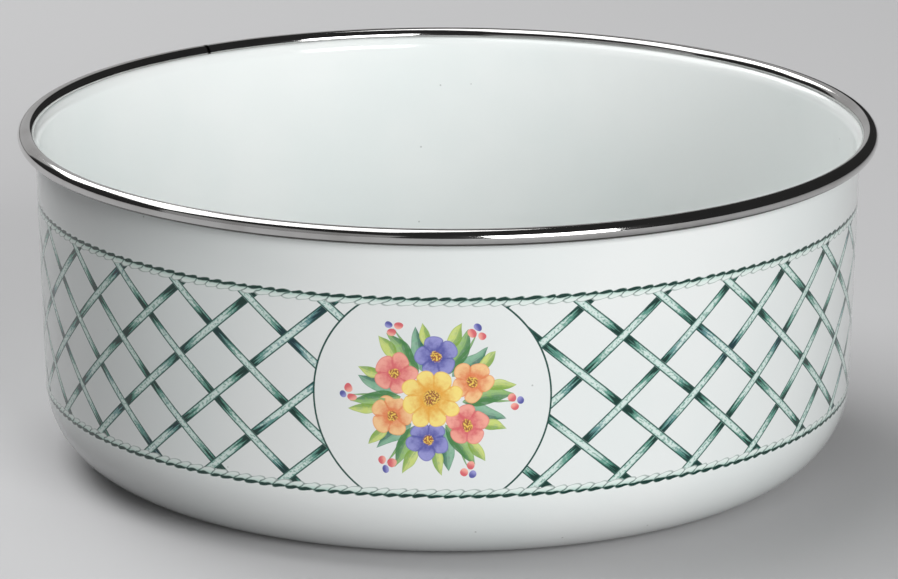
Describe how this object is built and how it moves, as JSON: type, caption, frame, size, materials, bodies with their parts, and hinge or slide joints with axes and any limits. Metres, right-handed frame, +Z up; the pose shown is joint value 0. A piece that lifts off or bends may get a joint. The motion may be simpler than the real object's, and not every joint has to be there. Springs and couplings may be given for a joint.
{
  "type": "enamelled steel bowl",
  "caption": "Round straight-sided bowl of white enamelled steel with a rounded foot, a recessed base and a rolled stainless steel rim.",
  "frame": {"origin": "centre of the base, on the surface that the bowl stands on", "axes": "+Z up along the bowl's axis; -Y faces the front, where one of the printed medallions is"},
  "size_m": [0.24, 0.24, 0.095],
  "materials": {
    "enamel_white": "glossy white vitreous enamel, faintly cool",
    "steel_bare": "dull pressed steel under the enamel",
    "steel_polished": "mirror-polished stainless strip"
  },
  "bodies": {
    "root": {"outer_enamel": "enamel_white", "steel_shell": "steel_bare", "inner_enamel": "enamel_white", "rim_strip": "steel_polished"}
  },
  "joints": []
}
